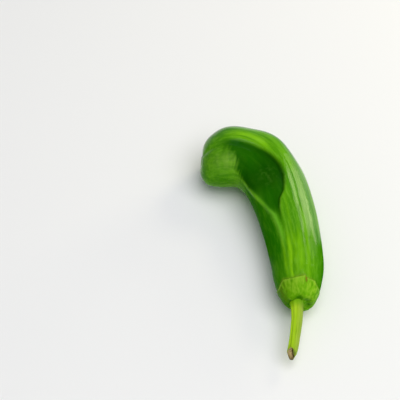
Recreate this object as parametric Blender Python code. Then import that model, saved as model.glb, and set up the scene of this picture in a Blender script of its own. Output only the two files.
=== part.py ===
"""A padron pepper as picked, lying on its side: the curved pod, the calyx that caps it, and the stem.

Sizes are in millimetres and angles in degrees. Vertices are written in metres, with +Z up, the surface that
the pepper rests on at z = 0, and the origin under the middle of the pepper's box.
"""

import bmesh
import bpy
import numpy as np

METRES = 0.001
UP = np.array((0.0, 0.0, 1.0))

# The pepper's middle line from the stem end to the blossom end, as (x, y, height)
SPINE = (
    (10.35, -21.8, 7.4),
    (10.3, -14.2, 7.3),
    (10.2, -8.0, 7.3),
    (9.1, 1.5, 7.75),
    (7.1, 11.8, 8.2),
    (4.3, 20.3, 8.55),
    (0.7, 25.6, 8.8),
    (-3.4, 28.5, 9.05),
    (-8.1, 29.7, 9.15),
    (-12.6, 29.5, 9.0),
    (-16.8, 28.6, 8.6),
)
# Its outline beside that line, calyx and all, as (distance along it, radius), from dimple to dimple
OUTLINE = (
    (0.6, 0.0), (0.6, 1.0), (0.5, 1.8), (0.15, 2.5), (-0.1, 3.3), (0.35, 4.25), (1.7, 5.05), (3.7, 5.8),
    (6.2, 6.5), (9.5, 7.1), (14.0, 7.45), (20.0, 7.8), (26.0, 8.2), (32.0, 8.45), (38.0, 8.7), (44.0, 9.0),
    (50.0, 9.3), (55.0, 9.55), (59.5, 9.65), (63.2, 9.0), (65.9, 7.5), (67.6, 5.3), (68.3, 3.1), (68.0, 1.3),
    (67.5, 0.0),
)
SQUASH = 0.96  # the section's height against its width
LOBES = 3
LOBE_HEIGHT = 0.28
LOBE_CREST = 45.0  # the first lobe's crest, as an angle from the outer side of the bend
# Furrows between the lobes: angle at the stem end and at the tip, where it starts and is full, depth, width
FURROWS = (
    (130.0, 94.0, 20.0, 38.0, 1.4, 17.0),
    (226.0, 236.0, 15.0, 35.0, 1.1, 17.0),
    (344.0, 352.0, 11.0, 41.0, 1.0, 16.0),
)
# Dents and swellings: distance along the pod, angle, length, width as an angle, height
DENTS = (
    (40.5, 118.0, 6.5, 26.0, -0.9),
    (36.0, 153.0, 6.0, 12.0, 0.45),
    (28.0, 132.0, 5.0, 9.0, 0.25),
    (22.0, 54.0, 15.0, 29.0, -0.95),
    (26.0, 15.0, 19.0, 12.0, 0.34),
    (50.8, 32.0, 4.2, 34.0, 0.95),
    (56.5, 38.0, 2.6, 24.0, -0.4),
    (53.0, 178.0, 6.0, 40.0, -0.6),
)
TIP_SLANT = 3.1  # how much further the tip reaches on its near side than on its far side
TIP_SLANT_FROM = 50.0
TIP_FAR_SIDE = 38.0
TIP_RADIUS = 9.0
POD_SIDES = 44
POD_RINGS = 46

# The corners of the calyx's edge, as (angle, share of the way along the outline)
CALYX_CORNERS = (
    (22.0, 0.289), (48.0, 0.31), (77.0, 0.33), (138.0, 0.32), (190.0, 0.312), (246.0, 0.308), (306.0, 0.317),
)
CALYX_HOLLOW = 0.04  # the share by which the edge draws in between two corners
CALYX_RISE = 0.06  # how far the calyx stands out of the outline
GAP = 0.3  # clearance between pieces that touch
SEAT_DEPTH = 1.1  # how far the pod draws in under the calyx
SEAT_START = 1.14  # where the pod begins to draw in, as a share of the way to the calyx's edge
SEAT_FULL = 0.8
CALYX_SIDES = 42
CALYX_RINGS = 20

# The stem's middle line from the calyx to the cut end, and its radius at shares of its length
STEM_SPINE = (
    (9.55, -21.6, 7.4),
    (9.5, -25.0, 7.25),
    (9.05, -29.2, 6.8),
    (8.25, -34.2, 6.15),
    (7.05, -40.0, 5.4),
)
STEM_RADIUS = ((0.0, 1.3), (0.03, 1.85), (0.1, 1.78), (0.25, 1.62), (0.5, 1.5), (0.8, 1.45), (1.0, 1.5))
STEM_RIBS = 5
STEM_RIB_HEIGHT = 0.09
STEM_SIDES = 20
STEM_RINGS = 34
CUT_FACING = (-0.44, -0.735, 0.52)  # the way the slanted cut at the stem's end faces
CUT_SETBACK = 2.85  # the cut's middle, back from the end of the stem's middle line

POD_GREEN = (0.075, 0.30, 0.012)
CALYX_GREEN = (0.14, 0.40, 0.02)
STEM_GREEN = (0.32, 0.56, 0.04)


def smooth_run(points, steps):
    """Rows on a smooth line through the points, with this many steps between each two of them."""
    knots = np.array(points, float)
    knots = np.vstack((2 * knots[0] - knots[1], knots, 2 * knots[-1] - knots[-2]))
    share = np.linspace(0.0, 1.0, steps, endpoint=False)[:, None]
    rows = [
        start
        + share * (end - before) / 2
        + share**2 * (2 * before - 5 * start + 4 * end - after) / 2
        + share**3 * (3 * start - before - 3 * end + after) / 2
        for before, start, end, after in zip(knots, knots[1:], knots[2:], knots[3:])
    ]
    return np.vstack((*rows, knots[-2]))


def read_at(values, table, where):
    """The table's columns after its first, read at values of where."""
    return np.stack([np.interp(values, where, column) for column in table.T], axis=-1)


class Path:
    """A middle line that gives its points and directions at distances from its start."""

    REACH = 0.4  # how far to each side the direction is measured

    def __init__(self, points):
        self.line = smooth_run(points, 30)
        steps = np.linalg.norm(np.diff(self.line, axis=0), axis=1)
        self.run = np.concatenate(([0.0], np.cumsum(steps)))
        self.length = self.run[-1]

    def axes(self, distance):
        """At each distance: the point, the direction along, the level one across, and the one above."""
        inside = np.clip(distance, self.REACH, self.length - self.REACH)
        ends = [read_at(inside + side, self.line, self.run) for side in (-self.REACH, self.REACH)]
        along = unit(ends[1] - ends[0])
        across = unit(np.cross(along, UP))
        point = read_at(inside, self.line, self.run) + (distance - inside)[:, None] * along
        return point, along, across, np.cross(across, along)


def unit(vectors):
    return vectors / np.linalg.norm(vectors, axis=-1, keepdims=True)


def turn_between(first, second):
    """The turn from second to first, from -180 to 180."""
    return (first - second + 180.0) % 360.0 - 180.0


def ease(value, start, end):
    """Rises smoothly from 0 at start to 1 at end."""
    share = np.clip((value - start) / (end - start), 0.0, 1.0)
    return share * share * (3.0 - 2.0 * share)


def hump(offset, width):
    return np.exp(-((offset / width) ** 2))


def relief(distance, angle, length):
    """How far the lobes, furrows and dents raise the pod's skin."""
    height = LOBE_HEIGHT * np.cos(np.radians(LOBES * (angle - LOBE_CREST)))
    for start_angle, end_angle, start, full, depth, width in FURROWS:
        middle = start_angle + (end_angle - start_angle) * distance / length
        height -= depth * ease(distance, start, full) * hump(turn_between(angle, middle), width)
    for place, around, run, width, rise in DENTS:
        height += rise * hump(distance - place, run) * hump(turn_between(angle, around), width)
    return height


class Pepper:
    """The outer skin of pod and calyx, read by the share of the way along its outline and the angle."""

    SHARE_STEP = 0.004
    ANGLE_STEP = 2.0

    def __init__(self):
        self.path = Path(SPINE)
        self.outline = smooth_run(OUTLINE, 20)
        self.shares = np.linspace(0.0, 1.0, len(self.outline))

    def skin(self, share, angle):
        distance, radius = read_at(share, self.outline, self.shares).T
        lean = radius / TIP_RADIUS * np.cos(np.radians(angle - TIP_FAR_SIDE))
        distance = distance - TIP_SLANT * lean * ease(distance, TIP_SLANT_FROM, self.path.length)
        radius = radius + ease(radius, 0.5, 6.5) * relief(distance, angle, self.path.length)
        centre, _, across, above = self.path.axes(distance)
        turn = np.radians(angle)
        level, upward = radius * np.cos(turn), radius * SQUASH * np.sin(turn)
        return centre + level[:, None] * across + upward[:, None] * above

    def above_skin(self, share, angle, height):
        """Points at a height straight out from the skin."""
        inside = np.clip(share, self.SHARE_STEP, 1.0 - self.SHARE_STEP)
        onward = self.skin(inside + self.SHARE_STEP, angle) - self.skin(inside - self.SHARE_STEP, angle)
        sideways = self.skin(inside, angle + self.ANGLE_STEP) - self.skin(inside, angle - self.ANGLE_STEP)
        return self.skin(share, angle) + unit(np.cross(onward, sideways)) * height[:, None]


def calyx_reach(angle):
    """How far along the pod's outline the calyx's edge lies, drawn in between its corners."""
    corners = sorted(CALYX_CORNERS)
    corners = [(corners[-1][0] - 360.0, corners[-1][1]), *corners, (corners[0][0] + 360.0, corners[0][1])]
    angles, reaches = np.array(corners).T
    place = np.interp(angle, angles, np.arange(len(angles)))
    between = 4.0 * (place % 1.0) * (1.0 - place % 1.0)
    return np.interp(angle, angles, reaches) * (1.0 - CALYX_HOLLOW * between)


def wrapped_ball(sides, rings, place):
    """A ball whose points are moved to place(share of the way from pole to pole, angle round it)."""
    shape = bmesh.new()
    bmesh.ops.create_uvsphere(shape, u_segments=sides, v_segments=rings, radius=1.0)
    ball = np.array([vertex.co for vertex in shape.verts])
    share = np.arccos(np.clip(ball[:, 2], -1.0, 1.0)) / np.pi
    angle = np.degrees(np.arctan2(ball[:, 1], ball[:, 0])) % 360.0
    for vertex, point in zip(shape.verts, place(share, angle)):
        vertex.co = point
    return shape


def seat_depth(share, angle):
    """How far the pod lies below the skin, to make room for the calyx."""
    return SEAT_DEPTH * (1.0 - ease(share / calyx_reach(angle), SEAT_FULL, SEAT_START))


def make_pod(pepper):
    """The pod, drawn in under the calyx, with its lowest part pressed flat on the surface."""

    def place(share, angle):
        points = pepper.above_skin(share, angle, -seat_depth(share, angle))
        points[:, 2] = np.maximum(points[:, 2], 0.0)
        return points

    return wrapped_ball(POD_SIDES, POD_RINGS, place)


def make_calyx(pepper):
    """A thin cap: the ball's first half is its outside, from the stem to the edge, the rest its inside."""

    def place(share, angle):
        outside = share <= 0.5
        inward = np.where(outside, 2.0 * share, 2.0 - 2.0 * share) * calyx_reach(angle)
        height = np.where(outside, CALYX_RISE, GAP - seat_depth(inward, angle))
        return pepper.above_skin(inward, angle, height)

    return wrapped_ball(CALYX_SIDES, CALYX_RINGS, place)


def make_stem():
    """A ribbed rod with a flared root, cut off on the slant."""
    path = Path(STEM_SPINE)
    shares, radii = np.array(STEM_RADIUS).T
    root = 0.08  # the share of the ball that makes the flat root

    def place(share, angle):
        run = np.clip((share - root) / (1.0 - 2.0 * root), 0.0, 1.0)
        radius = np.interp(run, shares, radii)
        radius = radius + STEM_RIB_HEIGHT * np.cos(np.radians(STEM_RIBS * angle))
        radius = radius * np.minimum(np.minimum(share, 1.0 - share) / root, 1.0)
        centre, _, across, above = path.axes(run * path.length)
        level, upward = radius * np.cos(np.radians(angle)), radius * np.sin(np.radians(angle))
        return centre + level[:, None] * across + upward[:, None] * above

    shape = wrapped_ball(STEM_SIDES, STEM_RINGS, place)
    facing = unit(np.array(CUT_FACING))
    middle = path.axes(np.array([path.length - CUT_SETBACK]))[0][0]
    whole = [*shape.verts, *shape.edges, *shape.faces]
    cut = bmesh.ops.bisect_plane(shape, geom=whole, plane_co=middle, plane_no=facing, clear_outer=True)
    edges = [part for part in cut["geom_cut"] if isinstance(part, bmesh.types.BMEdge)]
    bmesh.ops.contextual_create(shape, geom=edges)
    return shape


def add_piece(name, shape, colour, roughness):
    """Writes a shape in metres, facing outwards, as a smooth object with its own material."""
    bmesh.ops.scale(shape, vec=(METRES,) * 3, verts=shape.verts)
    bmesh.ops.recalc_face_normals(shape, faces=shape.faces)
    mesh = bpy.data.meshes.new(name)
    shape.to_mesh(mesh)
    shape.free()
    mesh.shade_smooth()
    mesh.set_sharp_from_angle(angle=np.radians(50.0))
    material = bpy.data.materials.new(name)
    material.use_nodes = True
    shader = material.node_tree.nodes["Principled BSDF"]
    shader.inputs["Base Color"].default_value = (*colour, 1.0)
    shader.inputs["Roughness"].default_value = roughness
    shader.inputs["Metallic"].default_value = 0.0
    mesh.materials.append(material)
    piece = bpy.data.objects.new(name, mesh)
    bpy.context.scene.collection.objects.link(piece)
    return piece


def main():
    for old in list(bpy.data.objects):
        bpy.data.objects.remove(old)
    pepper = Pepper()
    add_piece("pod", make_pod(pepper), POD_GREEN, 0.3)
    add_piece("calyx", make_calyx(pepper), CALYX_GREEN, 0.45)
    add_piece("stem", make_stem(), STEM_GREEN, 0.5)


main()
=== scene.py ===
"""A padron pepper as picked, lying on its side on a pale surface in soft studio light.

Lengths on the pepper are in millimetres and angles in degrees. Angles round the pod start at the outer
side of its bend and pass over the top, so 90 is the pod's upper side where it lies.
"""

import bmesh
import bpy
import numpy as np
from mathutils import Matrix, Vector, noise


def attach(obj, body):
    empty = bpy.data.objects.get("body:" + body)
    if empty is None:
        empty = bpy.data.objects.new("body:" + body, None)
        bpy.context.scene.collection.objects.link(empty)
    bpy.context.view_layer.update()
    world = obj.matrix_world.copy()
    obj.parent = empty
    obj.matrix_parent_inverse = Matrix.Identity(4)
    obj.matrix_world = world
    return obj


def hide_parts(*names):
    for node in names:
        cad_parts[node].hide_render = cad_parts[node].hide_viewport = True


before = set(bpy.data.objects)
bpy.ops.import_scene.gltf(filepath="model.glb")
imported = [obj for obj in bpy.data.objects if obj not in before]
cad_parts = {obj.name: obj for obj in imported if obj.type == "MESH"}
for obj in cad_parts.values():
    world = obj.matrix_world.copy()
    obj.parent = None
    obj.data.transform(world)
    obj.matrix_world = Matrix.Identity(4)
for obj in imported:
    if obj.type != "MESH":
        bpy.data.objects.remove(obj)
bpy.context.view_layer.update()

# The pod: the fleshy fruit itself, one hollow body with a thin waxy skin that grew round a bend.
# Three lobes meet in furrows that end at the blunt blossom end, and the skin has sunk in and wrinkled
# on the inside of the bend.

METRES = 0.001
UP = np.array((0.0, 0.0, 1.0))

# The middle line from the stem end to the blossom end, as (x, y, height)
SPINE = (
    (10.35, -21.8, 7.4),
    (10.3, -14.2, 7.3),
    (10.2, -8.0, 7.3),
    (9.1, 1.5, 7.75),
    (7.1, 11.8, 8.2),
    (4.3, 20.3, 8.55),
    (0.7, 25.6, 8.8),
    (-3.4, 28.5, 9.05),
    (-8.1, 29.7, 9.15),
    (-12.6, 29.5, 9.0),
    (-16.8, 28.6, 8.6),
)
# The outline beside that line, calyx and all, as (distance along it, radius), from dimple to dimple
OUTLINE = (
    (0.6, 0.0), (0.6, 1.0), (0.5, 1.8), (0.15, 2.5), (-0.1, 3.3), (0.35, 4.25), (1.7, 5.05),
    (3.7, 5.8), (6.2, 6.5), (9.5, 7.1), (14.0, 7.45), (20.0, 7.8), (26.0, 8.2), (32.0, 8.45),
    (38.0, 8.7), (44.0, 9.0), (50.0, 9.3), (55.0, 9.55), (59.5, 9.65), (63.2, 9.0), (65.9, 7.5),
    (67.6, 5.3), (68.3, 3.1), (68.0, 1.3), (67.5, 0.0),
)
SQUASH = 0.96  # the section's height against its width
LOBES = 3
LOBE_HEIGHT = 0.28
LOBE_CREST = 45.0
# Furrows between the lobes: angle at the stem end and at the tip, start, where full, depth, width
FURROWS = (
    (226.0, 236.0, 15.0, 35.0, 1.1, 17.0),
    (344.0, 352.0, 11.0, 41.0, 1.0, 16.0),
)
# The sunken skin on the upper side: its outer and its inner bank, as (distance along the pod, angle)
OUTER_BANK = (
    (16.0, 113.0), (24.0, 112.0), (29.5, 110.0), (32.5, 104.0), (34.5, 92.0), (37.0, 84.0),
    (40.0, 78.0), (43.5, 76.0), (47.0, 80.0), (51.0, 87.0), (56.0, 90.0), (61.0, 90.0), (64.5, 88.0),
)
INNER_BANK = (
    (16.0, 119.0), (22.7, 121.0), (27.3, 125.0), (30.0, 134.0), (34.8, 145.0), (40.8, 157.0),
    (45.0, 150.0), (51.0, 126.0), (56.0, 120.0), (61.0, 118.0), (64.5, 112.0),
)
# How deep the skin has sunk there, as (distance along the pod, depth)
SUNK = (
    (20.0, 0.0), (25.0, 0.15), (29.0, 0.5), (33.0, 1.1), (37.0, 1.5), (42.0, 1.8), (47.0, 1.7),
    (54.0, 1.3), (61.0, 1.1), (66.0, 0.6),
)
# A narrow fold that stands up along the inner bank, as (distance along the pod, angle)
FOLD = (
    (14.0, 119.0), (18.6, 121.0), (22.7, 123.0), (27.3, 126.5), (29.9, 135.0), (34.8, 146.0),
    (42.0, 161.0),
)
FOLD_HEIGHT = 0.34
FOLD_WIDTH = 4.2
# Dents and swellings: distance along the pod, angle, length, width as an angle, height
DENTS = (
    (36.0, 153.0, 6.0, 12.0, 0.45),
    (28.0, 132.0, 5.0, 9.0, 0.3),
    (22.0, 60.0, 9.0, 20.0, 0.25),
    (50.8, 32.0, 4.2, 34.0, 0.95),
    (56.5, 38.0, 2.6, 24.0, -0.4),
    (53.0, 178.0, 6.0, 40.0, -0.6),
    (60.5, 100.0, 4.0, 10.0, 0.25),
)
# The flatter face along the outer side: its angle and width, and its depth at distances along the pod
FACE_ANGLE = 54.0
FACE_WIDTH = 31.0
FACE = ((2.0, 0.0), (10.0, 0.8), (18.0, 1.2), (26.0, 1.15), (33.0, 0.85), (39.0, 0.45), (46.0, 0.0))
FACE_CREST = 15.0
FACE_CREST_WIDTH = 12.0
FACE_CREST_HEIGHT = 0.36
TIP_SLANT = 3.1  # how much further the tip reaches on its near side than on its far side
TIP_SLANT_FROM = 50.0
TIP_FAR_SIDE = 38.0
TIP_RADIUS = 9.0
POD_SIDES = 240
POD_RINGS = 300


def smooth_run(points, steps):
    """Rows on a smooth line through the points, with this many steps between each two of them."""
    knots = np.array(points, float)
    knots = np.vstack((2 * knots[0] - knots[1], knots, 2 * knots[-1] - knots[-2]))
    share = np.linspace(0.0, 1.0, steps, endpoint=False)[:, None]
    rows = [
        start
        + share * (end - before) / 2
        + share**2 * (2 * before - 5 * start + 4 * end - after) / 2
        + share**3 * (3 * start - before - 3 * end + after) / 2
        for before, start, end, after in zip(knots, knots[1:], knots[2:], knots[3:])
    ]
    return np.vstack((*rows, knots[-2]))


def read_at(values, table, where):
    """The table's columns, read at values of where."""
    return np.stack([np.interp(values, where, column) for column in table.T], axis=-1)


def follow(values, table):
    """The table's second column, read at values of its first one."""
    return np.interp(values, *np.array(table).T)


def unit(vectors):
    return vectors / np.maximum(np.linalg.norm(vectors, axis=-1, keepdims=True), 1e-12)


def turn_between(first, second):
    """The turn from second to first, from -180 to 180."""
    return (first - second + 180.0) % 360.0 - 180.0


def ease(value, start, end):
    """Rises smoothly from 0 at start to 1 at end."""
    share = np.clip((value - start) / (end - start), 0.0, 1.0)
    return share * share * (3.0 - 2.0 * share)


def fade(value, start, end):
    """Falls smoothly from 1 at start to 0 at end."""
    return 1.0 - ease(value, start, end)


def hump(offset, width):
    return np.exp(-((offset / width) ** 2))


def beside(angle, middle, width):
    """A hump round the angle in the middle."""
    return hump(turn_between(angle, middle), width)


def uneven(points, size, seed):
    """Smooth unevenness from -1 to 1, with lumps of this size."""
    shift = Vector((seed * 17.3, seed * 5.1, seed * 9.7))
    return np.array([noise.noise(Vector(point) / size + shift) for point in points])


class Path:
    """A middle line that gives its points and directions at distances from its start."""

    REACH = 0.4  # how far to each side the direction is measured

    def __init__(self, points):
        self.line = smooth_run(points, 30)
        steps = np.linalg.norm(np.diff(self.line, axis=0), axis=1)
        self.run = np.concatenate(([0.0], np.cumsum(steps)))
        self.length = self.run[-1]

    def axes(self, distance):
        """At each distance: the point, the direction along, the level one across, and the one above."""
        inside = np.clip(distance, self.REACH, self.length - self.REACH)
        ends = [read_at(inside + side, self.line, self.run) for side in (-self.REACH, self.REACH)]
        along = unit(ends[1] - ends[0])
        across = unit(np.cross(along, UP))
        point = read_at(inside, self.line, self.run) + (distance - inside)[:, None] * along
        return point, along, across, np.cross(across, along)


def sunk(distance, angle):
    """The share of its depth that the skin has sunk: steep at the outer bank, easy at the inner one."""
    outer = follow(distance, OUTER_BANK)
    inner = follow(distance, INNER_BANK)
    wide = np.maximum(inner - outer, 1.0)
    into = turn_between(angle, outer)
    gentler = 7.0 * ease(distance, 44.0, 52.0)
    steep = ease(into, -2.5 - 0.3 * gentler, np.minimum(7.0 + gentler, 0.6 * wide))
    return steep * fade(into, 0.45 * wide, wide + 2.0)


def fold(distance, angle):
    """The fold's height as a share of its full height."""
    along = ease(distance, 13.0, 22.0) * fade(distance, 38.0, 46.0)
    return along * beside(angle, follow(distance, FOLD), FOLD_WIDTH)


def relief(distance, angle):
    """How far the lobes, furrows and dents raise the pod's skin."""
    height = LOBE_HEIGHT * np.cos(np.radians(LOBES * (angle - LOBE_CREST)))
    for start_angle, end_angle, start, full, depth, width in FURROWS:
        middle = start_angle + (end_angle - start_angle) * distance / pepper_path.length
        height -= depth * ease(distance, start, full) * beside(angle, middle, width)
    for place, around, run, width, rise in DENTS:
        height += rise * hump(distance - place, run) * beside(angle, around, width)
    height -= follow(distance, FACE) * beside(angle, FACE_ANGLE, FACE_WIDTH)
    crested = ease(distance, 5.0, 14.0) * fade(distance, 40.0, 50.0)
    height += FACE_CREST_HEIGHT * crested * beside(angle, FACE_CREST, FACE_CREST_WIDTH)
    height -= follow(distance, SUNK) * sunk(distance, angle)
    return height + FOLD_HEIGHT * fold(distance, angle)


SHARE_STEP = 0.002
ANGLE_STEP = 1.0
pepper_path = Path(SPINE)
pepper_outline = smooth_run(OUTLINE, 20)
outline_shares = np.linspace(0.0, 1.0, len(pepper_outline))


def straight_place(share):
    """The distance along the pepper and the radius, at a share of the way along its outline."""
    return read_at(share, pepper_outline, outline_shares).T


def skin(share, angle):
    """The outer skin of pod and calyx, at a share of the way along the outline and an angle round it."""
    distance, radius = straight_place(share)
    lean = radius / TIP_RADIUS * np.cos(np.radians(angle - TIP_FAR_SIDE))
    distance = distance - TIP_SLANT * lean * ease(distance, TIP_SLANT_FROM, pepper_path.length)
    radius = radius + ease(radius, 0.5, 6.5) * relief(distance, angle)
    centre, _, across, above = pepper_path.axes(distance)
    turn = np.radians(angle)
    level, upward = radius * np.cos(turn), radius * SQUASH * np.sin(turn)
    return centre + level[:, None] * across + upward[:, None] * above


def above_skin(share, angle, height):
    """Points at a height straight out from the skin."""
    inside = np.clip(share, SHARE_STEP, 1.0 - SHARE_STEP)
    onward = skin(inside + SHARE_STEP, angle) - skin(inside - SHARE_STEP, angle)
    sideways = skin(inside, angle + ANGLE_STEP) - skin(inside, angle - ANGLE_STEP)
    return skin(share, angle) + unit(np.cross(onward, sideways)) * height[:, None]


def wrapped_ball(sides, rings, place):
    """A ball whose points are moved to place(share of the way from pole to pole, angle round it)."""
    shape = bmesh.new()
    bmesh.ops.create_uvsphere(shape, u_segments=sides, v_segments=rings, radius=1.0)
    ball = np.array([vertex.co for vertex in shape.verts])
    share = np.arccos(np.clip(ball[:, 2], -1.0, 1.0)) / np.pi
    angle = np.degrees(np.arctan2(ball[:, 1], ball[:, 0])) % 360.0
    for vertex, point in zip(shape.verts, place(share, angle)):
        vertex.co = point
    return shape, share, angle


def finished(name, shape, material, marks):
    """A smooth object in metres, facing outwards, with its marks as attributes for the material."""
    bmesh.ops.scale(shape, vec=(METRES,) * 3, verts=shape.verts)
    bmesh.ops.recalc_face_normals(shape, faces=shape.faces)
    mesh = bpy.data.meshes.new(name)
    shape.to_mesh(mesh)
    shape.free()
    mesh.shade_smooth()
    for mark, values in marks.items():
        vector = np.ndim(values) == 2
        layer = mesh.attributes.new(mark, "FLOAT_VECTOR" if vector else "FLOAT", "POINT")
        layer.data.foreach_set("vector" if vector else "value", np.ravel(values).astype(np.float32))
    mesh.materials.append(material)
    piece = bpy.data.objects.new(name, mesh)
    bpy.context.scene.collection.objects.link(piece)
    return piece


class Finish:
    """A material's nodes, added one by one. Patterns read the marks that each mesh carries."""

    def __init__(self, name, roughness, specular):
        self.material = bpy.data.materials.new(name)
        self.material.use_nodes = True
        self.nodes = self.material.node_tree.nodes
        self.shader = self.nodes["Principled BSDF"]
        self.shader.inputs["Roughness"].default_value = roughness
        self.shader.inputs["Specular IOR Level"].default_value = specular

    def link(self, source, target):
        self.material.node_tree.links.new(source, target)

    def put(self, value, socket):
        """Sets a socket to a value, or links a node's output to it."""
        if isinstance(value, bpy.types.NodeSocket):
            self.link(value, socket)
        elif isinstance(value, tuple) and len(value) == 3 and len(socket.default_value) == 4:
            socket.default_value = (*value, 1.0)
        else:
            socket.default_value = value

    def mark(self, name, vector=False):
        node = self.nodes.new("ShaderNodeAttribute")
        node.attribute_name = name
        return node.outputs["Vector" if vector else "Fac"]

    def maths(self, operation, first, second):
        node = self.nodes.new("ShaderNodeMath")
        node.operation = operation
        self.put(first, node.inputs[0])
        self.put(second, node.inputs[1])
        return node.outputs[0]

    def grain(self, size, detail=3.0, stretch=(1.0, 1.0, 1.0)):
        """Noise with lumps of this size in millimetres, drawn out by stretch, from about 0 to 1."""
        scaled = self.nodes.new("ShaderNodeVectorMath")
        scaled.operation = "DIVIDE"
        self.put(self.mark("straight", vector=True), scaled.inputs[0])
        scaled.inputs[1].default_value = [size * reach for reach in stretch]
        node = self.nodes.new("ShaderNodeTexNoise")
        node.inputs["Scale"].default_value = 1.0
        node.inputs["Detail"].default_value = detail
        self.link(scaled.outputs[0], node.inputs["Vector"])
        return node.outputs["Fac"]

    def spread(self, value, low, high, start=0.0, end=1.0):
        """The value, moved from the range low to high into the range start to end."""
        node = self.nodes.new("ShaderNodeMapRange")
        node.interpolation_type = "SMOOTHSTEP"
        self.put(value, node.inputs["Value"])
        node.inputs["From Min"].default_value = low
        node.inputs["From Max"].default_value = high
        node.inputs["To Min"].default_value = start
        node.inputs["To Max"].default_value = end
        return node.outputs["Result"]

    def mix(self, share, under, over):
        """The colour over laid on the colour under, by this share."""
        node = self.nodes.new("ShaderNodeMix")
        node.data_type = "RGBA"
        self.put(share, node.inputs[0])
        self.put(under, node.inputs[6])
        self.put(over, node.inputs[7])
        return node.outputs[2]

    def coats(self, colour, *coats):
        """Coats laid over the colour one by one, as (share, colour)."""
        for share, over in coats:
            colour = self.mix(share, colour, over)
        return colour

    def marked(self, name, pattern):
        """The mark, broken up by a pattern."""
        return self.maths("MULTIPLY", self.mark(name), pattern)

    def bumps(self, *heights):
        """Bumps as (pattern, height in millimetres), the first ones underneath."""
        normal = None
        for pattern, height in heights:
            node = self.nodes.new("ShaderNodeBump")
            node.inputs["Strength"].default_value = 1.0
            node.inputs["Distance"].default_value = height * METRES
            self.link(pattern, node.inputs["Height"])
            if normal is not None:
                self.link(normal, node.inputs["Normal"])
            normal = node.outputs["Normal"]
        self.link(normal, self.shader.inputs["Normal"])

    def surface(self, colour, roughness):
        self.put(colour, self.shader.inputs["Base Color"])
        self.put(roughness, self.shader.inputs["Roughness"])


# The calyx's edge lies on the pod, so the pod needs it first: (angle, share of the way along the outline)
CALYX_EDGE = (
    (0.0, 0.288), (11.0, 0.2845), (23.0, 0.283), (35.0, 0.287), (43.0, 0.297), (48.0, 0.308),
    (58.0, 0.3105), (66.0, 0.313), (71.0, 0.3175), (73.5, 0.3145), (76.5, 0.3295), (84.0, 0.3245),
    (93.0, 0.321), (109.0, 0.3175), (126.0, 0.3175), (135.0, 0.3195), (139.0, 0.321), (147.0, 0.307),
    (160.0, 0.295), (173.0, 0.297), (190.0, 0.309), (218.0, 0.3), (246.0, 0.306), (276.0, 0.302),
    (306.0, 0.314), (335.0, 0.299), (360.0, 0.288),
)
SEAT = 0.4  # how far the pod draws in under the calyx
WRINKLE_REACH = 3.5  # how far a wrinkle runs across the pod, against its width along it
# How far the skin stands up in broad lumps, fine streaks, wrinkles in the hollow and creases at the tip
LUMP_HEIGHT = 0.07
STREAK_HEIGHT = 0.012
WRINKLE_HEIGHT = 0.14
CREASE_HEIGHT = 0.09


def to_calyx_edge(share, angle):
    """The share of the way from the stem to the calyx's edge."""
    return share / follow(angle % 360.0, CALYX_EDGE)


def straight_marks(share, angle):
    """The place on the pepper as if it had grown straight, for patterns that follow its bend."""
    distance, radius = straight_place(share)
    turn = np.radians(angle)
    return np.stack((radius * np.cos(turn), radius * np.sin(turn), distance), axis=-1)


def crosswise(places):
    """Places for patterns that are drawn out across the pod, as its skin wrinkles."""
    return places / (WRINKLE_REACH, WRINKLE_REACH, 1.0)


def pod_place(share, angle):
    distance, radius = straight_place(share)
    places = straight_marks(share, angle)
    swell = LUMP_HEIGHT * uneven(places, 8.0, 1)
    swell += STREAK_HEIGHT * uneven(places * (1.0, 1.0, 0.3), 2.4, 2)
    swell *= ease(radius, 1.0, 6.0)
    pinch = sunk(distance, angle) * hump(distance - 42.0, 8.0)
    swell += WRINKLE_HEIGHT * pinch * uneven(places, 1.5, 3)
    creased = hump(distance - 58.0, 5.0) * beside(angle, 130.0, 20.0)
    swell += CREASE_HEIGHT * creased * uneven(crosswise(places), 0.85, 4)
    seat = SEAT * fade(to_calyx_edge(share, angle), 0.9, 1.03)
    points = above_skin(share, angle, swell - seat)
    points[:, 2] = np.maximum(points[:, 2], 0.0)
    return points


# The skin's greens: its broad patches, streaks, wisps and specks, then the marks in their order, painted
# light and shade among them
DEEP_GREEN = (0.062, 0.258, 0.001)
BRIGHT_GREEN = (0.118, 0.35, 0.003)
YELLOW_STREAK = (0.26, 0.6, 0.004)
LIGHT_STREAK = (0.17, 0.47, 0.012)
DARK_STREAK = (0.03, 0.18, 0.001)
LIGHT_WISP = (0.2, 0.48, 0.035)
DARK_WISP = (0.03, 0.19, 0.001)
SPECK = (0.16, 0.42, 0.03)
PAINTED_SHEEN_GREEN = (0.3, 0.48, 0.08)
SHADE_GREEN = (0.012, 0.138, 0.0005)
DENT_SHADE_GREEN = (0.005, 0.088, 0.0005)
HOLLOW_SHADE_GREEN = (0.002, 0.035, 0.0002)
FLECK = (0.1, 0.26, 0.03)
FOLD_HIGHLIGHT_GREEN = (0.12, 0.38, 0.02)
RIM_GREEN = (0.17, 0.3, 0.012)
SCAR_BROWN = (0.11, 0.07, 0.022)

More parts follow.
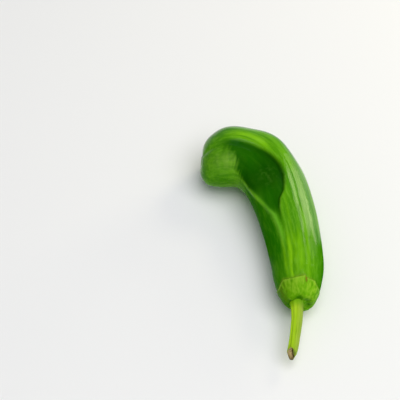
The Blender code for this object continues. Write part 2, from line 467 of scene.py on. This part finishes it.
pod_finish = Finish("pod_skin", 0.15, 0.18)
broad = pod_finish.grain(9.0, 2.0, (1.0, 1.0, 2.6))
streaky = pod_finish.grain(1.5, 3.0, (1.0, 1.0, 12.0))
wispy = pod_finish.grain(0.6, 3.0, (1.0, 1.0, 7.0))
specks = pod_finish.grain(0.5, 2.0)
green = pod_finish.coats(
    pod_finish.mix(pod_finish.spread(broad, 0.3, 0.7), DEEP_GREEN, BRIGHT_GREEN),
    (pod_finish.marked("streak", pod_finish.spread(streaky, 0.25, 0.6, 0.45, 1.0)), YELLOW_STREAK),
    (pod_finish.spread(streaky, 0.45, 0.66, 0.0, 0.35), LIGHT_STREAK),
    (pod_finish.spread(streaky, 0.48, 0.3, 0.0, 0.42), DARK_STREAK),
    (pod_finish.spread(wispy, 0.5, 0.68, 0.0, 0.27), LIGHT_WISP),
    (pod_finish.spread(wispy, 0.47, 0.32, 0.0, 0.28), DARK_WISP),
    (pod_finish.spread(specks, 0.52, 0.72, 0.0, 0.22), SPECK),
    (pod_finish.mark("pale"), PAINTED_SHEEN_GREEN),
    (pod_finish.marked("shade", pod_finish.spread(wispy, 0.4, 0.62, 1.0, 0.78)), SHADE_GREEN),
    (pod_finish.mark("dark"), DENT_SHADE_GREEN),
    (pod_finish.mark("hollow"), HOLLOW_SHADE_GREEN),
    (pod_finish.marked("fleck", pod_finish.spread(pod_finish.grain(1.3), 0.45, 0.65)), FLECK),
    (pod_finish.mark("fold"), FOLD_HIGHLIGHT_GREEN),
    (pod_finish.mark("rim"), RIM_GREEN),
    (pod_finish.mark("scar"), SCAR_BROWN),
)
waxy = pod_finish.spread(pod_finish.grain(3.0, 3.0, (1.0, 1.0, 3.0)), 0.3, 0.7, 0.06, 0.11)
dry_scar = pod_finish.maths("MULTIPLY", pod_finish.mark("scar"), 0.4)
pod_finish.surface(green, pod_finish.maths("ADD", waxy, dry_scar))
fine_streaks = pod_finish.spread(pod_finish.grain(0.75, 2.0, (1.0, 1.0, 11.0)), 0.35, 0.65, 0.7, 1.35)
pod_finish.put(pod_finish.marked("shine", fine_streaks), pod_finish.shader.inputs["Specular IOR Level"])
pod_finish.bumps(
    (pod_finish.grain(0.8, 2.0, (1.0, 1.0, 9.0)), 0.02),
    (pod_finish.grain(1.1, 1.0), 0.012),
    (pod_finish.grain(0.28, 1.0), 0.002),
)

# Streaks of yellower green along the skin: angle, where it starts and ends, width as an angle, strength
STREAKS = (
    (109.0, 4.0, 19.0, 4.5, 1.0),
    (123.0, 7.0, 20.0, 3.0, 0.6),
    (97.0, 6.0, 30.0, 3.0, 0.3),
    (86.0, 8.0, 20.0, 5.0, 0.5),
    (66.0, 5.0, 26.0, 5.0, 0.25),
    (78.0, 50.0, 62.0, 9.0, 0.7),
    (152.0, 26.0, 44.0, 5.0, 0.4),
    (300.0, 8.0, 36.0, 8.0, 0.5),
    (262.0, 14.0, 46.0, 6.0, 0.4),
    (15.0, 12.0, 44.0, 7.0, 0.35),
)


def streak_marks(distance, angle):
    marks = np.zeros(len(distance))
    for around, start, end, width, strength in STREAKS:
        along = ease(distance, start - 3.0, start + 3.0) * fade(distance, end - 4.0, end + 4.0)
        marks = np.maximum(marks, strength * along * beside(angle, around, width))
    return marks


pod_shape, pod_share, pod_angle = wrapped_ball(POD_SIDES, POD_RINGS, pod_place)
pod_distance, pod_radius = straight_place(pod_share)
pod_places = straight_marks(pod_share, pod_angle)
past_bank = turn_between(pod_angle, follow(pod_distance, OUTER_BANK))
past_fold = turn_between(pod_angle, follow(pod_distance, FOLD))

# Painted shade in the hollow, and in the crescent that it runs out in towards the far end. The crescent's
# wispy end lies on this line, as (distance along the pod, angle).
CRESCENT_END = (
    (44.0, 160.0), (50.0, 158.0), (54.0, 150.0), (56.0, 138.0), (57.5, 127.0), (59.0, 119.0),
    (62.0, 114.0), (66.0, 106.0),
)
dent = ease(past_bank, -1.0, 4.0) * fade(past_fold, -5.0, 1.0)
dent *= ease(pod_distance, 22.0, 31.0) * fade(pod_distance, 44.0, 52.0)
from_end = turn_between(follow(pod_distance, CRESCENT_END), pod_angle)
from_end += 14.0 * uneven(crosswise(pod_places), 0.8, 13)
crescent = ease(past_bank, -3.0, 6.0) * ease(from_end, -19.0, 12.0)
crescent *= ease(pod_distance, 44.0, 51.0) * fade(pod_distance, 59.5, 66.5)
dark = np.clip(0.93 * dent + 0.93 * crescent, 0.0, 0.95)
dark *= 1.0 - 0.1 * np.abs(uneven(pod_places * (1.0, 1.0, 0.25), 1.6, 12))

# Painted shade, in a deeper green: on the inner side, on the outer side, at both ends and on the flatter
# face.
# From a ragged start beside the calyx as far as the bend, less shade is painted on the outer side.
ragged = pod_distance + 6.0 * uneven(pod_places * (1.0, 1.0, 0.12), 0.9, 14)
bright_run = ease(ragged, 14.0, 29.0) * fade(pod_distance, 44.0, 54.0)
shade = 0.93 * ease(past_fold, 1.0, 13.0 - 6.0 * ease(pod_distance, 26.0, 32.0))
shade *= fade(pod_angle, 190.0, 250.0)
shade *= fade(pod_distance, 38.0, 54.0) * (0.62 + 0.38 * ease(pod_distance, 8.0, 20.0))
shade += 0.66 * beside(pod_angle, 3.0, 20.0) * (1.0 - 0.65 * bright_run)
shade += 0.12 * fade(pod_distance, 18.0, 24.0) + 0.22 * ease(pod_distance, 56.0, 64.0)
shade += 0.3 * beside(pod_angle, 36.0, 22.0) * (1.0 - 0.5 * ease(pod_distance, 20.0, 32.0))

# The wax shines most along the upper outer side, low on the outer side and underneath. It is dull beside
# the calyx, and thinner where shade is painted on the skin.
glossy = beside(pod_angle, 45.0, 42.0) * (0.04 + 0.96 * ease(ragged, 17.0, 22.5))
round_bend = ease(pod_distance, 39.0, 43.0) * fade(pod_distance, 49.0, 55.0)
glossy *= 1.0 - 0.85 * round_bend * ease(pod_angle, 30.0, 46.0)
low_run = ease(ragged, 16.0, 26.0) * fade(pod_distance, 44.0, 50.0)
glossy += 0.9 * beside(pod_angle, 8.0, 15.0) * low_run
glossy += 0.75 * ease(pod_angle, 190.0, 220.0) * fade(pod_angle, 315.0, 345.0)
dull = beside(pod_angle, 0.0, 23.0) * fade(ragged, 13.0, 24.0)
shine = 0.035 + 0.22 * glossy - 0.3 * dull - 0.06 * np.maximum(dark, 0.6 * shade)

# Painted reflection, a milky band low on the outer side, and painted highlights on the creases at the far
# end
pale = 0.4 * beside(pod_angle, 10.0, 14.0) * bright_run
creased = hump(pod_distance - 60.0, 6.0) * beside(pod_angle, 134.0, 18.0)
pale += 0.5 * creased * (0.6 + 0.4 * uneven(crosswise(pod_places), 0.85, 4))
to_edge = to_calyx_edge(pod_share, pod_angle)
pod = finished(
    "pod_visual",
    pod_shape,
    pod_finish.material,
    {
        "straight": pod_places,
        "streak": streak_marks(pod_distance, pod_angle),
        "pale": pale,
        "shade": np.clip(shade, 0.0, 0.95),
        "dark": dark,
        # Deeper painted shade in the far part of the hollow
        "hollow": 0.42 * dent * ease(pod_distance, 35.0, 41.0),
        "fleck": 0.18 * dent * hump(pod_distance - 42.0, 4.0) * beside(pod_angle, 110.0, 20.0),
        # Painted highlight along the fold's crest
        "fold": 0.75 * fold(pod_distance, pod_angle) * (1.0 - 0.55 * ease(pod_distance, 27.0, 34.0)),
        "rim": 0.65 * hump(to_edge - 1.012, 0.018) * (0.6 + 0.4 * uneven(pod_places, 1.5, 5)),
        "scar": hump(pod_radius, 0.8) * ease(pod_share, 0.9, 0.95),
        "shine": np.clip(shine, 0.0, 1.0),
    },
)
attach(pod, "root")
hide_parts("pod")

# The calyx: the green cap that held the flower, grown onto the pod's stem end.
# It is a thin skin, pleated where it gathers round the stem, and its paler edge stands a little off the
# pod in shallow corners, with a small brown tear beside one of them.

CALYX_SIDES = 300
CALYX_RINGS = 90
CALYX_LIFT = 0.02
CALYX_THICK = 0.35
LIP_LIFT = 0.13
LIP_THICK = 0.2
COLLAR_HEIGHT = 0.9
PLEAT_HEIGHT = 0.16
PLEAT_RUN_OUT = 0.05  # the pleats' height where they run out towards the edge
CALYX_UNEVEN = 0.09
PLEATS = ((77.0, 1.0), (138.0, 0.9), (190.0, 0.8), (246.0, 0.8), (306.0, 0.9), (14.0, 0.8))
# Hollows near the stem: how far out towards the edge, angle, width out and round, depth
HOLLOWS = (
    (0.52, 97.0, 0.13, 18.0, 0.3),
    (0.5, 188.0, 0.13, 18.0, 0.25),
    (0.42, 345.0, 0.12, 20.0, 0.17),
    (0.55, 36.0, 0.1, 12.0, 0.12),
    (0.55, 150.0, 0.12, 10.0, 0.12),
)
TEAR_ANGLE = 73.5


def out_from_stem(share):
    """From 0 at the stem to 1 at the edge, on the outside and on the underside alike."""
    return np.where(share <= 0.5, 2.0 * share, 2.0 - 2.0 * share)


def pleats(angle, width):
    return sum(strength * beside(angle, around, width) for around, strength in PLEATS)


def hollows(out, angle):
    return sum(
        depth * hump(out - place, across) * beside(angle, around, width)
        for place, around, across, width, depth in HOLLOWS
    )


def calyx_place(share, angle):
    out = out_from_stem(share)
    along = out * follow(angle, CALYX_EDGE)
    lip = ease(out, 0.86, 1.0)
    height = CALYX_LIFT + LIP_LIFT * lip
    height = height + PLEAT_HEIGHT * pleats(angle, 7.0) * hump(out - 0.42, 0.22)
    height = height + PLEAT_RUN_OUT * pleats(angle, 5.0)
    height = height + COLLAR_HEIGHT * fade(out, 0.14, 0.42) - hollows(out, angle)
    lumps = uneven(straight_marks(along, angle) * (1.0, 1.0, 0.5), 1.6, 6)
    height = height + CALYX_UNEVEN * lumps * ease(out, 0.1, 0.5)
    thick = CALYX_THICK + (LIP_THICK - CALYX_THICK) * lip
    return above_skin(along, angle, np.where(share <= 0.5, height, height - thick))


# The calyx's greens: its patches, strokes and veins, then the marks in their order, painted shade among them
CAP_GREEN = (0.095, 0.315, 0.0005)
CAP_LIGHT = (0.14, 0.395, 0.001)
PALE_STROKE = (0.29, 0.52, 0.03)
LIGHT_VEIN = (0.25, 0.5, 0.02)
DARK_VEIN = (0.055, 0.23, 0.0005)
OLIVE = (0.05, 0.19, 0.0005)
BROWN_VEIN = (0.095, 0.16, 0.004)
CAP_CREVICE_SHADE = (0.022, 0.16, 0.0005)
LIP_GREEN = (0.27, 0.5, 0.03)
TEAR_BROWN = (0.2, 0.14, 0.008)

calyx_finish = Finish("calyx_skin", 0.42, 0.03)
veins = calyx_finish.grain(0.7, 3.0, (1.0, 1.0, 7.0))
patches = calyx_finish.grain(3.2, 2.0)
green = calyx_finish.coats(
    calyx_finish.mix(calyx_finish.spread(patches, 0.35, 0.65), CAP_GREEN, CAP_LIGHT),
    (calyx_finish.marked("pale", calyx_finish.spread(veins, 0.42, 0.6, 0.25, 1.0)), PALE_STROKE),
    (calyx_finish.spread(veins, 0.48, 0.66, 0.0, 0.6), LIGHT_VEIN),
    (calyx_finish.spread(veins, 0.46, 0.3, 0.0, 0.55), DARK_VEIN),
    (calyx_finish.mark("olive"), OLIVE),
    (calyx_finish.marked("olive", calyx_finish.spread(veins, 0.5, 0.35)), BROWN_VEIN),
    (calyx_finish.mark("crevice_shade"), CAP_CREVICE_SHADE),
    (calyx_finish.marked("lip", calyx_finish.spread(patches, 0.4, 0.6, 0.5, 1.0)), LIP_GREEN),
    (calyx_finish.mark("tear"), TEAR_BROWN),
)
calyx_finish.surface(green, calyx_finish.spread(patches, 0.3, 0.7, 0.34, 0.5))
calyx_finish.bumps((veins, 0.16), (calyx_finish.grain(0.3, 2.0), 0.03))

calyx_shape, calyx_share, calyx_angle = wrapped_ball(CALYX_SIDES, CALYX_RINGS, calyx_place)
calyx_out = out_from_stem(calyx_share)
upper_edge = beside(calyx_angle, 112.0, 40.0) * ease(calyx_out, 0.66, 0.9)
outer_side = beside(calyx_angle, 45.0, 22.0) * ease(calyx_out, 0.3, 0.6)
# Painted shade in the hollows round the stem and in a ring about it
crevice_shade = 2.6 * hollows(calyx_out, calyx_angle) + 0.25 * hump(calyx_out - 0.38, 0.12)
calyx = finished(
    "calyx_visual",
    calyx_shape,
    calyx_finish.material,
    {
        "straight": straight_marks(calyx_out * follow(calyx_angle, CALYX_EDGE), calyx_angle),
        "pale": 0.5 * outer_side + 0.6 * upper_edge,
        "olive": 0.85 * beside(calyx_angle, 178.0, 42.0),
        "crevice_shade": np.clip(crevice_shade, 0.0, 0.85),
        "lip": 0.8 * ease(calyx_out, 0.955, 0.985),
        "tear": ease(calyx_out, 0.9, 0.96) * beside(calyx_angle, TEAR_ANGLE, 2.4),
    },
)
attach(calyx, "root")
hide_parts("calyx")

# The stem: the fibrous, ribbed stalk that the pepper hung by, which spreads into a collar at the calyx.
# Its far end was cut off on the slant, and the tan pith there has dried and sunk in, with a browned rim
# and a dark split. Angles round the stem start at the inner side of the pod's bend and pass over the top.

STEM_SPINE = (
    (9.55, -20.9, 7.4),
    (9.5, -25.0, 7.25),
    (9.05, -29.2, 6.8),
    (8.25, -34.2, 6.15),
    (7.05, -40.0, 5.4),
)
# The radius, as (share of the middle line, radius)
STEM_RADIUS = (
    (0.0, 2.5), (0.03, 2.25), (0.06, 1.95), (0.1, 1.8), (0.14, 1.73), (0.28, 1.62), (0.5, 1.5),
    (0.8, 1.45), (1.0, 1.5),
)
# The ribs: angle round the stem, height, width as an angle
STEM_RIBS = (
    (60.0, 0.16, 13.0), (100.0, 0.1, 9.0), (131.0, 0.16, 14.0), (205.0, 0.15, 15.0),
    (277.0, 0.16, 14.0), (345.0, 0.15, 14.0), (20.0, 0.08, 9.0), (165.0, 0.07, 9.0),
)
RIB_TWIST = 10.0  # how far the ribs turn round the stem on their way down
BETWEEN_RIBS = 0.09  # how far the skin lies in between the ribs
STEM_SIDES = 160
STEM_RINGS = 300
STEM_LUMPS = 0.05
STEM_MEAN_RADIUS = 1.6
CUT_FACING = (-0.46, -0.73, 0.52)
CUT_SETBACK = 2.85  # the cut's middle, back from the end of the stem's middle line
CUT_RUN = 0.93  # the share of the middle line whose radius the cut has
CUT_DISH = 0.42  # how far the dried pith has sunk
TUCK_ANGLE = 208.0  # where the skin has shrunk in before the cut
STEM_ROOT = 0.04  # the share of the ball that makes the hidden root
STEM_CUT = 0.86  # the share of the ball where the cut face begins

stem_path = Path(STEM_SPINE)
stem_cut = stem_path.length - CUT_SETBACK
cut_facing = unit(np.array(CUT_FACING))
cut_middle, cut_along, cut_across, cut_above = (row[0] for row in stem_path.axes(np.array([stem_cut])))


def stem_ribs(angle, run):
    ribs = sum(
        height * beside(angle, around + RIB_TWIST * run, width)
        for around, height, width in STEM_RIBS
    )
    return ribs - BETWEEN_RIBS


def down_stem(share):
    """From 0 at the root to 1 at the edge of the cut."""
    return np.clip((share - STEM_ROOT) / (STEM_CUT - STEM_ROOT), 0.0, 1.0)


def into_cut(share):
    """From 0 at the edge of the cut to 1 at its middle."""
    return np.clip((share - STEM_CUT) / (1.0 - STEM_CUT), 0.0, 1.0)


def stem_place(share, angle):
    turn = np.radians(angle)[:, None]
    side = np.cos(turn) * cut_across + np.sin(turn) * cut_above
    cut_radius = follow(CUT_RUN, STEM_RADIUS) + stem_ribs(angle, CUT_RUN)
    distance = down_stem(share) * (stem_cut - cut_radius * (side @ cut_facing) / (cut_along @ cut_facing))
    run = distance / stem_path.length
    radius = follow(run, STEM_RADIUS) + stem_ribs(angle, run) * ease(run, 0.0, 0.06)
    lumps = np.stack((np.cos(turn[:, 0]), np.sin(turn[:, 0]), distance / 3.0), axis=-1)
    radius = radius + STEM_LUMPS * uneven(lumps, 0.8, 8) * ease(run, 0.02, 0.1)
    radius = radius * np.minimum(share / STEM_ROOT, 1.0)
    radius = radius * (1.0 - 0.1 * ease(share, STEM_CUT - 0.012, STEM_CUT) ** 2)
    tucked = ease(share, STEM_CUT - 0.14, STEM_CUT) ** 2 * beside(angle, TUCK_ANGLE, 45.0)
    radius = radius * (1.0 - 0.45 * tucked)
    centre, _, across, above = stem_path.axes(distance)
    points = centre + radius[:, None] * (np.cos(turn) * across + np.sin(turn) * above)
    inward = into_cut(share)
    face = points + (cut_middle - points) * inward[:, None]
    frayed = 0.09 * uneven(face, 0.33, 9) + 0.05 * uneven(face, 0.14, 10)
    dished = 0.12 * hump(inward - 0.05, 0.07) - CUT_DISH * ease(inward, 0.12, 0.75)
    dished += frayed * ease(inward, 0.03, 0.2)
    return face + cut_facing * (dished * (inward > 0.0))[:, None]


# The stem's greens and browns: its patches, then the marks in their order, painted light among them, and the
# cut
STALK_GREEN = (0.3, 0.51, 0.01)
STALK_LIGHT = (0.37, 0.575, 0.02)
LIT_SIDE_GREEN = (0.52, 0.86, 0.01)
GREY_GREEN = (0.265, 0.37, 0.055)
LIGHT_FIBRE = (0.46, 0.62, 0.06)
DARK_FIBRE = (0.17, 0.36, 0.004)
EDGE_BROWN = (0.2, 0.22, 0.02)
ROOT_DARK_GREEN = (0.12, 0.36, 0.001)
DRYING_BROWN = (0.13, 0.13, 0.012)
PITH_BROWN = (0.24, 0.16, 0.04)
PITH_TAN = (0.7, 0.55, 0.26)
BROWNED = (0.045, 0.035, 0.004)

stem_finish = Finish("stem_skin", 0.5, 0.02)
fibres = stem_finish.grain(0.42, 3.0, (1.0, 1.0, 14.0))
patches = stem_finish.grain(2.2, 2.0, (1.0, 1.0, 2.5))
pith = stem_finish.grain(0.4, 3.0)
dry_cut = stem_finish.coats(
    stem_finish.mix(stem_finish.spread(pith, 0.35, 0.6), PITH_BROWN, PITH_TAN),
    (stem_finish.mark("rim"), BROWNED),
)
green = stem_finish.coats(
    stem_finish.mix(stem_finish.spread(patches, 0.35, 0.65), STALK_GREEN, STALK_LIGHT),
    (stem_finish.mark("lit_side"), LIT_SIDE_GREEN),
    (stem_finish.mark("pale"), GREY_GREEN),
    (stem_finish.spread(fibres, 0.5, 0.7, 0.0, 0.35), LIGHT_FIBRE),
    (stem_finish.spread(fibres, 0.46, 0.3, 0.0, 0.5), DARK_FIBRE),
    (stem_finish.mark("edge"), EDGE_BROWN),
    (stem_finish.mark("darker_root"), ROOT_DARK_GREEN),
    (stem_finish.mark("drying"), DRYING_BROWN),
    (stem_finish.mark("cut"), dry_cut),
)
stem_finish.surface(green, stem_finish.spread(stem_finish.mark("cut"), 0.0, 1.0, 0.42, 0.85))
stem_finish.bumps((fibres, 0.12), (stem_finish.grain(0.25, 2.0), 0.04))

stem_shape, stem_share, stem_angle = wrapped_ball(STEM_SIDES, STEM_RINGS, stem_place)
stem_distance = down_stem(stem_share) * stem_cut
stem_inward = into_cut(stem_share)
stem_turn = np.radians(stem_angle)
stem_round = STEM_MEAN_RADIUS * np.stack((np.cos(stem_turn), np.sin(stem_turn)), axis=-1)
stem_straight = np.column_stack((stem_round, stem_distance))
stem_straight *= (1.0 - stem_inward)[:, None]
drying = ease(stem_share, STEM_CUT - 0.1, STEM_CUT) * beside(stem_angle, 10.0, 60.0)
dry_patches = uneven(stem_straight * (1.0, 1.0, 0.4), 1.2, 11).clip(-0.3, 1.0)

# In the cut, a dark split runs from front to back on the right, and past it the skin stays green. The rim is
# browned most at the front.
to_right, to_back, _ = (np.array([vertex.co for vertex in stem_shape.verts]) - cut_middle).T
past_split = to_right + 0.2 * to_back - 0.32
rim = 0.75 * hump(stem_inward - 0.02, 0.42) * (0.3 + 0.7 * ease(-to_back, -1.0, 0.6))
stem = finished(
    "stem_visual",
    stem_shape,
    stem_finish.material,
    {
        "straight": stem_straight,
        # Painted light: a brighter side, above and towards the inner side of the pod's bend
        "lit_side": 0.85 * beside(stem_angle, 24.0, 38.0),
        "pale": 0.8 * beside(stem_angle, 145.0, 40.0),
        "edge": 0.7 * beside(stem_angle, 184.0, 15.0),
        # Darker green towards the root
        "darker_root": 0.75 * fade(stem_distance, 0.8, 3.6),
        "drying": (0.8 * dry_patches + 0.45) * drying,
        "cut": ease(stem_share, STEM_CUT - 0.004, STEM_CUT + 0.004) * fade(past_split, 0.05, 0.35),
        "rim": np.maximum(rim, hump(past_split, 0.22)) * (stem_inward > 0.0),
    },
)
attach(stem, "root")
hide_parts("stem")

# The surface that the pepper lies on: a plain pale table top, much wider than the view.

TABLE_REACH = 2.0
TABLE_DROP = 0.00005  # keeps the table top just clear of the pod's flat strip

table_shape = bmesh.new()
bmesh.ops.create_grid(table_shape, x_segments=1, y_segments=1, size=TABLE_REACH)
bmesh.ops.translate(table_shape, vec=(0.0, 0.0, -TABLE_DROP), verts=table_shape.verts)
table_mesh = bpy.data.meshes.new("table_top")
table_shape.to_mesh(table_mesh)
table_shape.free()
table_paint = Finish("table_paint", 0.8, 0.5)
table_paint.put((0.88, 0.88, 0.88), table_paint.shader.inputs["Base Color"])
table_mesh.materials.append(table_paint.material)
table_top = bpy.data.objects.new("table_top", table_mesh)
bpy.context.scene.collection.objects.link(table_top)

# Studio light: an even pale room, a broad soft light above, and two small soft lights behind on the right
# whose reflections are drawn out along the pod's outer side.


def soft_light(name, place, aim, width, height, power, colour=(1.0, 1.0, 1.0)):
    lamp = bpy.data.lights.new(name, "AREA")
    lamp.color = colour
    lamp.shape = "RECTANGLE"
    lamp.size = width
    lamp.size_y = height
    lamp.energy = power
    light = bpy.data.objects.new(name, lamp)
    facing = (Vector(aim) - Vector(place)).to_track_quat("-Z", "Y")
    light.matrix_world = Matrix.Translation(place) @ facing.to_matrix().to_4x4()
    bpy.context.scene.collection.objects.link(light)


MIDDLE_OF_POD = (0.01, 0.005, 0.008)
soft_light("broad_top", (0.22, -0.2, 0.8), (0.0, 0.0, 0.0), 0.8, 0.8, 6.0)
soft_light("warm_high", (0.232, 0.235, 0.249), MIDDLE_OF_POD, 0.1, 0.095, 0.2, (1.0, 0.93, 0.62))
soft_light("warm_low", (0.294, 0.274, 0.091), MIDDLE_OF_POD, 0.148, 0.163, 0.35, (1.0, 0.93, 0.6))

room = bpy.data.worlds.new("room")
room.use_nodes = True
room.node_tree.nodes["Background"].inputs["Color"].default_value = (0.93, 0.95, 1.0, 1.0)
room.node_tree.nodes["Background"].inputs["Strength"].default_value = 0.34
bpy.context.scene.world = room
bpy.context.scene.view_settings.view_transform = "Standard"

# The camera looks down along the pepper from its stem end, as the photo does.

lens = bpy.data.cameras.new("camera")
lens.lens = 135.0
lens.sensor_width = 36.0
camera = bpy.data.objects.new("camera", lens)
camera.location = (-0.0175, -0.25635, 0.3546)
camera.rotation_euler = (np.radians(38.0), 0.0, 0.0)
bpy.context.scene.collection.objects.link(camera)
bpy.context.scene.camera = camera
